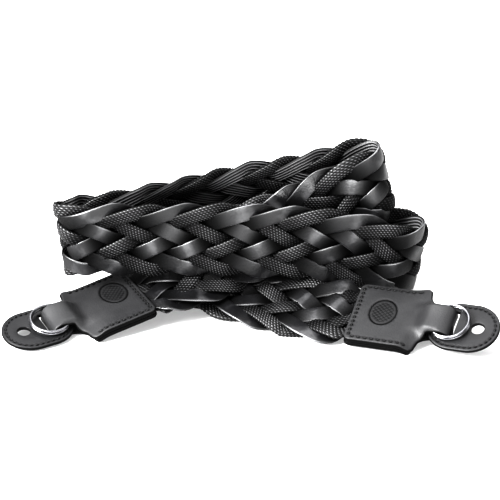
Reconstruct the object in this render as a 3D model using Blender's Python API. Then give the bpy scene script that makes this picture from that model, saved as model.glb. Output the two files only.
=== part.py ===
"""A camera strap lying in a loose coil: a flat braid of nine strands, and at each end a folded leather tab,
a split ring and a leather protector. Metres, +Z up; the strap lies on z = 0 and is seen from -Y."""
import math

import bmesh
import bpy
import numpy as np
from mathutils import Euler, Matrix, Vector

# Driving sizes of the braid
COIL_LENGTH = 0.140
BAND_WIDTH = 0.0300
BAND_THICKNESS = 0.0044
STRAND_COUNT = 9
STRAND_PITCH = 0.0134
STRAND_START = 0.5
STRAND_WIDTH = 0.0054
GROOVE_DEPTH = 0.0013
# Driving sizes of the end fittings
LEATHER = 0.0011
TAB_WIDTH = 0.0330
TAB_LENGTH = 0.0255
TAB_CORNER = 0.0020
NECK_WIDTH = 0.0122
NECK_LENGTH = 0.0120
POCKET_DEPTH = 0.0170
SEAM = 0.0017
RING_DIAMETER = 0.0156
RING_WIRE = 0.0011
PROTECTOR_WIDTH = 0.0216
PROTECTOR_LENGTH = 0.0275
PROTECTOR_THICKNESS = 0.0015
PROTECTOR_HOLE = 0.0049
PROTECTOR_TIP = 0.0081
SLIT_SPARE = 0.0007
# Clearance that touching pieces keep
GAP = 0.0003

# The coil's centre line, from the right tab round to the left one. x and y are shares of COIL_LENGTH, z is a
# share of BAND_WIDTH, lean is in degrees: 0 stands the band on its edge, -90 lays it smooth side up.
ROUTE_COLUMNS = ("x", "y", "z", "lean")
ROUTE = (
    # lower front run
    (0.171, 0.187, 0.153, -79), (0.086, 0.224, 0.153, -80), (-0.014, 0.267, 0.157, -80),
    (-0.114, 0.329, 0.177, -76), (-0.200, 0.401, 0.300, -56), (-0.264, 0.461, 0.447, -26),
    (-0.296, 0.504, 0.513, -6), (-0.279, 0.540, 0.513, 0), (-0.221, 0.553, 0.513, 0),
    # lower back run
    (-0.107, 0.545, 0.513, 0), (0.057, 0.524, 0.513, 0), (0.214, 0.493, 0.513, 1),
    (0.347, 0.454, 0.513, 5), (0.430, 0.397, 0.517, 8), (0.457, 0.344, 0.527, 10),
    # front run
    (0.429, 0.301, 0.547, 8), (0.343, 0.285, 0.663, 2), (0.236, 0.276, 0.807, 1),
    (0.086, 0.269, 0.887, 0), (-0.071, 0.256, 0.950, 2), (-0.271, 0.240, 1.000, 5),
    (-0.414, 0.228, 1.020, 8), (-0.476, 0.235, 0.997, 7), (-0.496, 0.266, 0.963, 6),
    (-0.469, 0.299, 0.937, 2),
    # upper back run
    (-0.393, 0.320, 0.970, -4), (-0.271, 0.364, 1.057, -16), (-0.136, 0.406, 1.140, -22),
    (0.000, 0.422, 1.223, -18), (0.136, 0.421, 1.313, -12), (0.243, 0.426, 1.413, -6),
    (0.301, 0.431, 1.483, -5), (0.346, 0.419, 1.507, -9), (0.363, 0.387, 1.507, -13),
    # upper front run, down to the left tab
    (0.346, 0.355, 1.487, -7), (0.301, 0.344, 1.430, 0), (0.221, 0.346, 1.233, 1),
    (0.114, 0.346, 0.953, -3), (0.021, 0.344, 0.800, -16), (-0.068, 0.331, 0.647, -37),
    (-0.139, 0.306, 0.480, -63), (-0.211, 0.272, 0.337, -82),
)

# The two ends. The place is where the ring's centre meets the protector, x and y as shares of COIL_LENGTH and
# z as a share of BAND_WIDTH. Angles in degrees: yaw, pitch and roll of the protector, then those of the tab
# measured from it, then the ring's own tilt on the protector.
END_COLUMNS = ("name", "x", "y", "z", "yaw", "pitch", "roll", "tab_yaw", "tab_pitch", "tab_roll", "ring_tilt")
ENDS = (
    ("right", 0.525, 0.060, 0.243, -23.5, 4.5, 24, 5, -7, -13, 3),
    ("left", -0.530, 0.111, 0.127, 209.5, -1.5, -10, -1.5, -9.5, 8.5, -4),
)

# Values worked out from the sizes above
COLLECTION = "braided_camera_strap"
HALF_WIDTH = BAND_WIDTH / 2
TURN = HALF_WIDTH - STRAND_WIDTH / 2
ROUNDING = 0.5
HALF_THICKNESS = BAND_THICKNESS / 2
GROOVE_HEIGHT = HALF_THICKNESS - GROOVE_DEPTH
EDGE_HEIGHT = 0.75 * HALF_THICKNESS
RIM_HEIGHT = 0.45 * HALF_THICKNESS
NOTCH = TURN + 0.24 * STRAND_WIDTH
END_THICKNESS = 0.6 * LEATHER
POCKET_HEIGHT = END_THICKNESS + 2 * GAP
TAB_THICKNESS = 2 * LEATHER + POCKET_HEIGHT
END_WIDTH = TAB_WIDTH - 2 * (SEAM + GAP)
MOUTH_REACH = 1.3 * POCKET_DEPTH
RING_RADIUS = (RING_DIAMETER - RING_WIRE) / 2
RING_STEPS = 22
TAB_FLOOR = -PROTECTOR_THICKNESS - GAP - LEATHER
TAB_MIDDLE = TAB_FLOOR + TAB_THICKNESS / 2
BEND_START = -0.80 * NECK_LENGTH
BEND_END = -1.12 * NECK_LENGTH


def row(columns, values):
    """One row of a table as a dictionary."""
    return dict(zip(columns, values))


def material(name, colour, roughness, metallic=0.0):
    """A Principled material with one colour."""
    made = bpy.data.materials.new(name)
    made.use_nodes = True
    shader = made.node_tree.nodes["Principled BSDF"]
    shader.inputs["Base Color"].default_value = (*colour, 1.0)
    shader.inputs["Roughness"].default_value = roughness
    shader.inputs["Metallic"].default_value = metallic
    made.diffuse_color = (*colour, 1.0)
    return made


def link(name, mesh, collection, matrix=Matrix()):
    """A new object for a mesh."""
    made = bpy.data.objects.new(name, mesh)
    made.matrix_world = matrix
    collection.objects.link(made)
    return made


def mesh_from(name, bm):
    """A triangulated mesh with its faces out."""
    bmesh.ops.triangulate(bm, faces=bm.faces[:])
    bmesh.ops.recalc_face_normals(bm, faces=bm.faces[:])
    mesh = bpy.data.meshes.new(name)
    bm.to_mesh(mesh)
    bm.free()
    return mesh


# Route of the band

def end_matrix(end):
    """The protector's frame: x out from the strap, z up from its face."""
    turn = Euler([math.radians(end["roll"]), -math.radians(end["pitch"]), math.radians(end["yaw"])], "XYZ")
    place = Vector((end["x"] * COIL_LENGTH, end["y"] * COIL_LENGTH, end["z"] * BAND_WIDTH))
    return Matrix.Translation(place) @ turn.to_matrix().to_4x4()


def neck_bend(end, share):
    """Turn of the tab against the protector, shared out along the neck."""
    turn = Euler([math.radians(end[key]) * share * sign
                  for key, sign in (("tab_roll", 1), ("tab_pitch", -1), ("tab_yaw", 1))], "XYZ")
    pivot = Matrix.Translation(Vector((-NECK_LENGTH, 0, TAB_MIDDLE)))
    return pivot @ turn.to_matrix().to_4x4() @ pivot.inverted()


def tab_points(end):
    """Centre line inside a tab, from the pocket's end to just outside its mouth."""
    frame = end_matrix(end) @ neck_bend(end, 1.0)
    mouth = -NECK_LENGTH - TAB_LENGTH
    return [frame @ Vector((mouth + share * POCKET_DEPTH, 0, TAB_MIDDLE))
            for share in (1.0, 0.75, 0.5, 0.25, 0.0, -0.2)]


def tab_lean(end, heading):
    """Lean that lays the band flat in its tab."""
    normal = (end_matrix(end) @ neck_bend(end, 1.0)).to_3x3() @ Vector((0, 0, 1))
    outward = Vector((0, 0, 1)).cross(heading).normalized()
    upward = heading.cross(outward)
    return -math.degrees(math.atan2(normal.dot(upward), normal.dot(outward)))


def control_points():
    """Points and leans of the whole centre line, the two pockets included."""
    right, left = (row(END_COLUMNS, values) for values in ENDS)
    start = tab_points(right)
    finish = tab_points(left)[::-1]
    start_lean = tab_lean(right, (start[-1] - start[0]).normalized())
    finish_lean = tab_lean(left, (finish[-1] - finish[0]).normalized())
    points = [(*p, start_lean) for p in start]
    for values in ROUTE:
        step = row(ROUTE_COLUMNS, values)
        points.append((step["x"] * COIL_LENGTH, step["y"] * COIL_LENGTH, step["z"] * BAND_WIDTH, step["lean"]))
    return np.array(points + [(*p, finish_lean) for p in finish])


def spline(knots, values, at):
    """Natural cubic spline through values at knots."""
    count = len(knots)
    width = np.diff(knots)
    system = np.eye(count)
    target = np.zeros_like(values)
    for i in range(1, count - 1):
        system[i, i - 1:i + 2] = width[i - 1], 2 * (width[i - 1] + width[i]), width[i]
        target[i] = 6 * ((values[i + 1] - values[i]) / width[i] - (values[i] - values[i - 1]) / width[i - 1])
    bend = np.linalg.solve(system, target)
    k = np.clip(np.searchsorted(knots, at) - 1, 0, count - 2)
    h = width[k][:, None]
    a = (knots[k + 1] - at)[:, None] / h
    b = 1 - a
    return a * values[k] + b * values[k + 1] + ((a**3 - a) * bend[k] + (b**3 - b) * bend[k + 1]) * h * h / 6


class Route:
    """The centre line with its frame, sampled evenly along its length."""

    def __init__(self, samples=1600):
        points = control_points()
        knots = np.concatenate([[0], np.cumsum(np.linalg.norm(np.diff(points[:, :3], axis=0), axis=1))])
        fine = np.linspace(0, knots[-1], 4 * samples)
        track = spline(knots, points, fine)[:, :3]
        along = np.concatenate([[0], np.cumsum(np.linalg.norm(np.diff(track, axis=0), axis=1))])
        self.length = along[-1]
        self.s = np.linspace(0, self.length, samples)
        even = spline(knots, points, np.interp(self.s, along, fine))
        self.centre = even[:, :3]
        heading = np.gradient(self.centre, self.s, axis=0)
        heading /= np.linalg.norm(heading, axis=1)[:, None]
        outward = np.cross((0, 0, 1), heading)
        outward /= np.linalg.norm(outward, axis=1)[:, None]
        upward = np.cross(heading, outward)
        lean = np.radians(even[:, 3])[:, None]
        self.heading = heading
        self.across = np.cos(lean) * upward + np.sin(lean) * outward
        self.normal = np.cos(lean) * outward - np.sin(lean) * upward

    def place(self, s, v, n):
        """World point at length s, v across the band and n out from its middle."""
        at = [np.array([np.interp(s, self.s, track[:, i]) for i in range(3)])
              for track in (self.centre, self.across, self.normal)]
        return at[0] + v * at[1] + n * at[2]

    def cuts(self, step=math.radians(38)):
        """Lengths where the heading has turned by one more step."""
        turned = np.arccos(np.clip(np.sum(self.heading[1:] * self.heading[:-1], axis=1), -1, 1))
        total = np.concatenate([[0], np.cumsum(turned)])
        return [np.interp(k * step, total, self.s) for k in range(1, int(total[-1] / step) + 1)]


# The braid, first flat in (s, v, n) and then laid along the route

# Floats of the two faces. A strand falls or climbs across the band, starts at an offset in the lattice of
# crossings, and runs round the band's upper edge, 1, or its lower one, -1, where the float touches it.
FLOAT_COLUMNS = ("side", "family", "offset", "direction", "edge")
FLOATS = (
    (1, "fall", 2.5, -1, 1), (1, "climb", -4.5, 1, 0), (1, "fall", 4.5, 1, 0), (1, "climb", -6.5, -1, -1),
    (-1, "climb", -2.5, 1, 1), (-1, "fall", 2.5, 1, 0), (-1, "climb", -6.5, 1, 0), (-1, "fall", 6.5, 1, -1),
)

# How a float lies over the lattice, in strand pitches: the ends and half width of its raised top, its own half
# width in the groove, and the places of the points round the outer edge.
TOP_ENDS = (0.3, 1.7)
TOP_HALF = 0.34
FLOAT_HALF = 0.5
SCALLOP = (-0.25, 0.0, 0.25)


def lattice_place(a, b):
    """Length and height over the flat band where the lattice lines a and b cross."""
    share = (b - a) / STRAND_COUNT
    level = (1 - ROUNDING) * (1 - 2 * share) + ROUNDING * math.cos(math.pi * share)
    return (STRAND_START + (a + b) / 2) * STRAND_PITCH, TURN * level


def float_lattice(kind, strand, t, c):
    """Lattice lines through a point t along a float and c across it."""
    along = strand + kind["offset"] + kind["direction"] * t
    beside = strand + kind["direction"] * c
    return (along, beside) if kind["family"] == "climb" else (beside, along)


class Braid:
    """Flat low relief of the braid: floats raised from a net of grooves."""

    def __init__(self):
        self.bm = bmesh.new()
        self.known = {}
        self.rims = {}

    def vertex(self, key, s, v, n):
        """One vertex for each key."""
        if key not in self.known:
            self.known[key] = self.bm.verts.new((s, v, n))
        return self.known[key]

    def low(self, kind, strand, t, c):
        """Vertex in a groove, shared by its neighbours, or in an edge notch, shared by both faces."""
        a, b = float_lattice(kind, strand, t, c)
        s, v = lattice_place(a, b)
        if b - a in (0, STRAND_COUNT):
            return self.vertex(("notch", a, b), s, math.copysign(NOTCH, v), 0)
        return self.vertex((kind["side"], a, b), s, v, kind["side"] * GROOVE_HEIGHT)

    def high(self, kind, strand, t, c, height=HALF_THICKNESS):
        """Vertex on top of a float."""
        s, v = lattice_place(*float_lattice(kind, strand, t, c))
        key = (kind["side"], kind["family"], strand, kind["offset"], t, c)
        return self.vertex(key, s, v, kind["side"] * height)

    def scallop(self, kind, strand, share):
        """Vertex on the outer edge where the strand turns round."""
        middle = strand + (0 if kind["edge"] > 0 else kind["direction"] * STRAND_COUNT / 2)
        place = middle + kind["direction"] * share
        v = NOTCH + (HALF_WIDTH - NOTCH) * math.cos(math.pi * share)
        return self.vertex((kind["side"], kind["edge"], place), (STRAND_START + place) * STRAND_PITCH,
                           kind["edge"] * v, kind["side"] * RIM_HEIGHT)

    def add_float(self, kind, strand):
        """The faces of one float."""
        low = [[self.low(kind, strand, t, c) for t in (0, 1, 2)] for c in (-FLOAT_HALF, FLOAT_HALF)]
        high = [[self.high(kind, strand, t, c) for t in TOP_ENDS] for c in (-TOP_HALF, TOP_HALF)]
        faces = [(low[0][0], high[0][0], high[1][0], low[1][0])]
        faces.append((high[0][0], high[0][1], high[1][1], high[1][0]))
        for edge, ridge in zip(low, high):
            faces += [(edge[0], edge[1], ridge[0]), (edge[1], ridge[1], ridge[0]), (edge[1], edge[2], ridge[1])]
        if not kind["edge"]:
            faces.append((low[0][2], high[0][1], high[1][1], low[1][2]))
        else:
            hub = self.high(kind, strand, 2 + FLOAT_HALF, 0.0, EDGE_HEIGHT)
            turn = [low[0][2], *(self.scallop(kind, strand, share) for share in SCALLOP),
                    self.low(kind, strand, 3, FLOAT_HALF)]
            rim = [high[0][1], *turn, low[1][2], high[1][1]]
            faces += [(hub, rim[i], rim[(i + 1) % len(rim)]) for i in range(len(rim))]
            self.close_rim(turn)
        for face in faces:
            self.bm.faces.new(face)

    def close_rim(self, turn):
        """The blunt outer edge between the two faces, made when the second of them comes."""
        ends = frozenset((turn[0], turn[-1]))
        if ends not in self.rims:
            self.rims[ends] = turn
            return
        other = self.rims.pop(ends)
        if other[0] is not turn[0]:
            other = other[::-1]
        for i in range(len(turn) - 1):
            corners = (turn[i], turn[i + 1], other[i + 1], other[i])
            self.bm.faces.new(list(dict.fromkeys(corners)))

    def finish(self, length, cuts):
        """Square ends at 0 and length, closed, and an edge across the band at each cut."""
        for s, keep in ((0.0, -1), (length, 1)):
            geometry = self.bm.verts[:] + self.bm.edges[:] + self.bm.faces[:]
            cut = bmesh.ops.bisect_plane(self.bm, geom=geometry, dist=1e-7, plane_co=(s, 0, 0),
                                         plane_no=(keep, 0, 0), clear_outer=True)["geom_cut"]
            bmesh.ops.edgeloop_fill(self.bm, edges=[e for e in cut if isinstance(e, bmesh.types.BMEdge)])
        for s in cuts:
            geometry = self.bm.verts[:] + self.bm.edges[:] + self.bm.faces[:]
            bmesh.ops.bisect_plane(self.bm, geom=geometry, dist=STRAND_WIDTH / 12, plane_co=(s, 0, 0),
                                   plane_no=(1, 0, 0))
        return self.bm


def pocket_share(s, length):
    """1 inside a tab, falling to 0 just outside it."""
    depth = min(s, length - s)
    return min(max((MOUTH_REACH - depth) / (MOUTH_REACH - POCKET_DEPTH - GAP), 0.0), 1.0)


def make_band(collection, look, route):
    """The whole braid as one body."""
    braid = Braid()
    last = int(route.length / STRAND_PITCH) + 1
    for values in FLOATS:
        kind = row(FLOAT_COLUMNS, values)
        for strand in range(-STRAND_COUNT, last + STRAND_COUNT + 1):
            braid.add_float(kind, strand)
    mouths = [POCKET_DEPTH + GAP, (POCKET_DEPTH + MOUTH_REACH) / 2, MOUTH_REACH]
    mouths += [route.length - depth for depth in mouths]
    bm = braid.finish(route.length, route.cuts() + mouths)
    for vert in bm.verts:
        s, v, n = vert.co
        flat = pocket_share(s, route.length)
        v *= 1 + flat * (END_WIDTH / BAND_WIDTH - 1)
        n *= 1 + flat * (END_THICKNESS / BAND_THICKNESS - 1)
        vert.co = route.place(s, v, n)
    made = link("braided_band", mesh_from("braided_band", bm), collection)
    made.data.materials.append(look)
    return made


# End fittings, in the protector's frame

def prism(name, outline, height, matrix, collection):
    """A closed flat outline, drawn as a 2D curve in its own plane and extruded to both sides."""
    curve = bpy.data.curves.new(name, "CURVE")
    curve.dimensions = "2D"
    curve.fill_mode = "BOTH"
    curve.extrude = height / 2
    for loop in outline:
        line = curve.splines.new("POLY")
        line.points.add(len(loop) - 1)
        for point, (x, y) in zip(line.points, loop):
            point.co = (x, y, 0, 1)
        line.use_cyclic_u = True
    drawn = link(name + "_curve", curve, collection, matrix)
    bpy.context.view_layer.update()
    mesh = bpy.data.meshes.new_from_object(drawn.evaluated_get(bpy.context.evaluated_depsgraph_get()))
    bpy.data.objects.remove(drawn)
    bm = bmesh.new()
    bm.from_mesh(mesh)
    bmesh.ops.remove_doubles(bm, verts=bm.verts[:], dist=1e-6)
    bmesh.ops.transform(bm, matrix=matrix, verts=bm.verts[:])
    return link(name, mesh_from(name, bm), collection)


def arc(x, y, radius, start, stop, steps):
    """Points of an arc, angles in degrees."""
    angles = [math.radians(start + (stop - start) * i / steps) for i in range(steps + 1)]
    return [(x + radius * math.cos(a), y + radius * math.sin(a)) for a in angles]


def tab_outline():
    """Plan of the tab: a body with small corners, hollow shoulders and a neck that ends in the fold."""
    back = -NECK_LENGTH - TAB_LENGTH
    half = TAB_WIDTH / 2
    neck = NECK_WIDTH / 2
    shoulder = (half - neck) * 0.62
    upper = arc(back + TAB_CORNER, half - TAB_CORNER, TAB_CORNER, 180, 90, 3)
    upper += [(-NECK_LENGTH - 0.05 * TAB_LENGTH, half), (-NECK_LENGTH, half - 0.06 * TAB_WIDTH)]
    upper += arc(-NECK_LENGTH + shoulder * 1.05, neck + shoulder * 1.02, shoulder, 190, 270, 4)
    upper += [(RING_WIRE * 3, neck)]
    return [upper + [(x, -y) for x, y in reversed(upper)]]


# Side view of the neck's folded strip, x as a share of RING_DIAMETER. rise 0 is the tab's top and 1 the top
# of the hump over the ring.
HUMP_COLUMNS = ("x", "rise")
HUMP = ((-0.84, 0.0), (-0.76, 0.10), (-0.68, 0.42), (-0.61, 0.84), (-0.53, 1.0), (-0.18, 1.0), (-0.08, 0.85))


def ring_lift(end):
    """Height of the ring's centre over the protector."""
    return GAP + RING_WIRE + RING_DIAMETER / 2 * math.sin(math.radians(abs(end["ring_tilt"])))


def fold_profile(end, inset):
    """Side outline of the tab with its loop, drawn in by an inset; the loop turns down through the slit."""
    top = TAB_FLOOR + TAB_THICKNESS
    ring_top = ring_lift(end) + RING_WIRE + NECK_WIDTH / 2 * math.sin(math.radians(abs(end["ring_tilt"])))
    crest = ring_top + GAP + LEATHER
    front = 1.2 * LEATHER
    line = []
    for values in HUMP:
        step = row(HUMP_COLUMNS, values)
        line.append((step["x"] * RING_DIAMETER, top + step["rise"] * (crest - top)))
    line += [(0.35 * front, crest * 0.52), (front, crest * 0.12), (front, TAB_FLOOR + LEATHER)]
    line += [(front - 0.4 * LEATHER, TAB_FLOOR + 0.3 * LEATHER), (front - LEATHER, TAB_FLOOR)]
    if not inset:
        back = -NECK_LENGTH - TAB_LENGTH
        return [[(back, TAB_FLOOR), (back, top)] + line]
    inner = []
    for before, here, after in zip(line, line[1:], line[2:]):
        along = Vector(after) - Vector(before)
        inward = Vector((along.y, -along.x)).normalized() * inset
        inner.append((here[0] + inward.x, here[1] + inward.y))
    floor = TAB_FLOOR + inset
    kept = [(x, z) for x, z in inner if z > floor + GAP / 2]
    return [[(kept[0][0] - inset, floor)] + kept + [(kept[-1][0], floor)]]


def side_matrix():
    """Turns a plan (x, y) into a side view (x, z)."""
    return Matrix.Rotation(math.radians(90), 4, "X")


def boolean(target, cutter, operation):
    """An exact Boolean, left on the object as a modifier."""
    made = target.modifiers.new(cutter.name, "BOOLEAN")
    made.operation = operation
    made.solver = "EXACT"
    made.object = cutter


def box(name, low, high, collection):
    """A box between two corners."""
    bm = bmesh.new()
    bmesh.ops.create_cube(bm, size=1.0)
    size = Vector(high) - Vector(low)
    bmesh.ops.transform(bm, verts=bm.verts[:],
                        matrix=Matrix.Translation((Vector(high) + Vector(low)) / 2) @ Matrix.Diagonal((*size, 1)))
    return link(name, mesh_from(name, bm), collection)


def make_tab(end, collection, cutters, look):
    """A folded leather tab: two layers with a pocket for the braid and a loop round the ring."""
    name = "end_tab_" + end["name"]
    wide = 2 * TAB_WIDTH
    back = -NECK_LENGTH - TAB_LENGTH
    body = prism(name, tab_outline(), wide, Matrix(), collection)
    side = prism(name + "_side", fold_profile(end, 0), wide, side_matrix(), cutters)
    inside = prism(name + "_loop", fold_profile(end, LEATHER), wide, side_matrix(), cutters)
    half_pocket = END_WIDTH / 2 + GAP
    pocket = box(name + "_pocket", (back - GAP, -half_pocket, TAB_FLOOR + LEATHER),
                 (back + POCKET_DEPTH + GAP, half_pocket, TAB_FLOOR + LEATHER + POCKET_HEIGHT), cutters)
    boolean(body, side, "INTERSECT")
    boolean(body, inside, "DIFFERENCE")
    boolean(body, pocket, "DIFFERENCE")
    bpy.context.view_layer.update()
    mesh = bpy.data.meshes.new_from_object(body.evaluated_get(bpy.context.evaluated_depsgraph_get()))
    bm = bmesh.new()
    bm.from_mesh(mesh)
    bmesh.ops.remove_doubles(bm, verts=bm.verts[:], dist=1e-6)
    for share in (0.0, 0.33, 0.67, 1.0):
        bmesh.ops.bisect_plane(bm, geom=bm.verts[:] + bm.edges[:] + bm.faces[:], dist=2e-5,
                               plane_co=(BEND_START + (BEND_END - BEND_START) * share, 0, 0),
                               plane_no=(1, 0, 0))
    for vert in bm.verts:
        share = (vert.co.x - BEND_START) / (BEND_END - BEND_START)
        vert.co = neck_bend(end, min(max(share, 0.0), 1.0)) @ vert.co
    bmesh.ops.transform(bm, matrix=end_matrix(end), verts=bm.verts[:])
    body.modifiers.clear()
    body.data = mesh_from(name, bm)
    body.data.materials.append(look)


def make_ring(end, collection, look):
    """A split ring: two turns of wire lying on each other, drawn as one turned section."""
    name = "split_ring_" + end["name"]
    half = RING_WIRE / 2
    section = arc(RING_RADIUS, half, half, -60, 60, 2) + arc(RING_RADIUS, 3 * half, half, -60, 60, 2)
    section = [(x, z - RING_WIRE) for x, z in section]
    section = [(RING_RADIUS, -RING_WIRE)] + section + [(RING_RADIUS, RING_WIRE)]
    section += [(2 * RING_RADIUS - x, z) for x, z in reversed(section[1:-1])]
    bm = bmesh.new()
    loop = [bm.verts.new((x, 0, z)) for x, z in section]
    edges = [bm.edges.new((loop[i], loop[(i + 1) % len(loop)])) for i in range(len(loop))]
    bmesh.ops.spin(bm, geom=loop + edges, angle=2 * math.pi, steps=RING_STEPS, axis=(0, 0, 1), cent=(0, 0, 0),
                   use_merge=True)
    bmesh.ops.remove_doubles(bm, verts=bm.verts[:], dist=1e-6)
    tilt = Matrix.Rotation(math.radians(end["ring_tilt"]), 4, "X")
    place = end_matrix(end) @ Matrix.Translation((0, 0, ring_lift(end))) @ tilt
    bmesh.ops.transform(bm, matrix=place, verts=bm.verts[:])
    made = link(name, mesh_from(name, bm), collection)
    made.data.materials.append(look)


def protector_outline():
    """A tongue with round ends, its hole beside the ring and the slit that the tab's strip passes."""
    half = PROTECTOR_WIDTH / 2
    hole_place = RING_DIAMETER / 2 + GAP + PROTECTOR_HOLE / 2
    tip_place = hole_place + PROTECTOR_TIP - half
    heel_place = tip_place + PROTECTOR_WIDTH - PROTECTOR_LENGTH
    outer = arc(tip_place, 0, half, -90, 90, 12) + arc(heel_place, 0, half, 90, 270, 12)
    hole = arc(hole_place, 0, PROTECTOR_HOLE / 2, 0, 330, 11)
    slit_half = NECK_WIDTH / 2 + GAP
    low, high = 0.2 * LEATHER - GAP, 1.2 * LEATHER + GAP + SLIT_SPARE
    slit = [(low, -slit_half), (high, -slit_half), (high, slit_half), (low, slit_half)]
    return [outer, hole, slit]


def make_protector(end, collection, look):
    """A leather shield under the ring, with a hole and a slit."""
    name = "protector_" + end["name"]
    matrix = end_matrix(end) @ Matrix.Translation((0, 0, -PROTECTOR_THICKNESS / 2))
    made = prism(name, protector_outline(), PROTECTOR_THICKNESS, matrix, collection)
    made.data.materials.append(look)


def stand_on_floor(objects):
    """Moves the strap so that its box stands centred on z = 0."""
    corners = np.array([vert.co for made in objects for vert in made.data.vertices])
    low, high = corners.min(axis=0), corners.max(axis=0)
    middle = (low + high) / 2
    for made in objects:
        made.data.transform(Matrix.Translation((-middle[0], -middle[1], -low[2])))


def main():
    """Builds the strap in an empty scene."""
    for old in list(bpy.data.objects):
        bpy.data.objects.remove(old)
    collection = bpy.data.collections.new(COLLECTION)
    cutters = bpy.data.collections.new("cutters")
    for made in (collection, cutters):
        bpy.context.scene.collection.children.link(made)
    leather = material("black_leather", (0.018, 0.018, 0.019), 0.42)
    braid = material("black_braid", (0.014, 0.014, 0.015), 0.55)
    steel = material("polished_steel", (0.62, 0.62, 0.63), 0.16, 1.0)
    make_band(collection, braid, Route())
    for values in ENDS:
        end = row(END_COLUMNS, values)
        make_tab(end, collection, cutters, leather)
        make_ring(end, collection, steel)
        make_protector(end, collection, leather)
    stand_on_floor([made for made in collection.objects])
    for made in list(cutters.objects):
        made.hide_render = True
        made.display_type = "WIRE"
    for made in collection.objects:
        made.data.shade_smooth()
        made.data.set_sharp_from_angle(angle=math.radians(35))


main()
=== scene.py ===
"""The coiled strap's look: nine braided strands, stitched tabs, split rings and protectors on a table."""
import math

import bmesh
import bpy
import numpy as np
from mathutils import Euler, Matrix, Vector


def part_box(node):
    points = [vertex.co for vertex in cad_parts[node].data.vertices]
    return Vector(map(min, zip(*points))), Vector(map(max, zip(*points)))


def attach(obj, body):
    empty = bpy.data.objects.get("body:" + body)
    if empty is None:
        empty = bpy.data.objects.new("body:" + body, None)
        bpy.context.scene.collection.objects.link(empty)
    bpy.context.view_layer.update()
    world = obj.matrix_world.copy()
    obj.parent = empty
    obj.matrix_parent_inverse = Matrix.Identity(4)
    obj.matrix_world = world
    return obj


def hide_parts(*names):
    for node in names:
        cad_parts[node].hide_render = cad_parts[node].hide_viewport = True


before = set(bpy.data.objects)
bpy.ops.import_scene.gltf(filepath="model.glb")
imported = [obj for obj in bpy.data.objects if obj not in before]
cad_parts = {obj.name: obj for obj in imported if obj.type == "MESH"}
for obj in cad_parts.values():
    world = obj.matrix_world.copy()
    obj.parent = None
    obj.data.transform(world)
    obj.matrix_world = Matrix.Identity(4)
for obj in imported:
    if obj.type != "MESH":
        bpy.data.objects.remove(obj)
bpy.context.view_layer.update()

# Sizes as in the part's source, in metres
COIL_LENGTH = 0.140
BAND_WIDTH = 0.0300
STRAND_COUNT = 9
STRAND_PITCH = 0.0134
STRAND_START = 0.5
STRAND_WIDTH = 0.0054
ROUNDING = 0.5
LEATHER = 0.0011
TAB_WIDTH = 0.0330
TAB_LENGTH = 0.0255
TAB_CORNER = 0.0020
NECK_WIDTH = 0.0122
NECK_LENGTH = 0.0120
POCKET_DEPTH = 0.0170
SEAM = 0.0017
RING_DIAMETER = 0.0156
RING_WIRE = 0.0011
PROTECTOR_WIDTH = 0.0216
PROTECTOR_LENGTH = 0.0275
PROTECTOR_THICKNESS = 0.0015
PROTECTOR_HOLE = 0.0049
PROTECTOR_TIP = 0.0081
SLIT_SPARE = 0.0007
GAP = 0.0003

# Points of the route: x and y as shares of COIL_LENGTH, z as a share of BAND_WIDTH, and the lean in degrees
ROUTE = (
    # lower front run
    (0.171, 0.187, 0.153, -79), (0.086, 0.224, 0.153, -80), (-0.014, 0.267, 0.157, -80),
    (-0.114, 0.329, 0.177, -76), (-0.200, 0.401, 0.300, -56), (-0.264, 0.461, 0.447, -26),
    (-0.296, 0.504, 0.513, -6), (-0.279, 0.540, 0.513, 0), (-0.221, 0.553, 0.513, 0),
    # lower back run
    (-0.107, 0.545, 0.513, 0), (0.057, 0.524, 0.513, 0), (0.214, 0.493, 0.513, 1),
    (0.347, 0.454, 0.513, 5), (0.430, 0.397, 0.517, 8), (0.457, 0.344, 0.527, 10),
    # front run
    (0.429, 0.301, 0.547, 8), (0.343, 0.285, 0.663, 2), (0.236, 0.276, 0.807, 1),
    (0.086, 0.269, 0.887, 0), (-0.071, 0.256, 0.950, 2), (-0.271, 0.240, 1.000, 5),
    (-0.414, 0.228, 1.020, 8), (-0.476, 0.235, 0.997, 7), (-0.496, 0.266, 0.963, 6),
    (-0.469, 0.299, 0.937, 2),
    # upper back run
    (-0.393, 0.320, 0.970, -4), (-0.271, 0.364, 1.057, -16), (-0.136, 0.406, 1.140, -22),
    (0.000, 0.422, 1.223, -18), (0.136, 0.421, 1.313, -12), (0.243, 0.426, 1.413, -6),
    (0.301, 0.431, 1.483, -5), (0.346, 0.419, 1.507, -9), (0.363, 0.387, 1.507, -13),
    # upper front run, down to the left tab
    (0.346, 0.355, 1.487, -7), (0.301, 0.344, 1.430, 0), (0.221, 0.346, 1.233, 1),
    (0.114, 0.346, 0.953, -3), (0.021, 0.344, 0.800, -16), (-0.068, 0.331, 0.647, -37),
    (-0.139, 0.306, 0.480, -63), (-0.211, 0.272, 0.337, -82),
)

# The two ends: where the ring's centre meets the protector, x and y as shares of COIL_LENGTH and z of
# BAND_WIDTH; then angles in degrees, of the protector, of the tab from it, and of the ring from it.
END_COLUMNS = ("name", "x", "y", "z", "yaw", "pitch", "roll", "tab_yaw", "tab_pitch", "tab_roll", "ring_tilt")
ENDS = (
    ("right", 0.525, 0.060, 0.243, -23.5, 4.5, 24, 5, -7, -13, 3),
    ("left", -0.530, 0.111, 0.127, 209.5, -1.5, -10, -1.5, -9.5, 8.5, -4),
)

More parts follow.
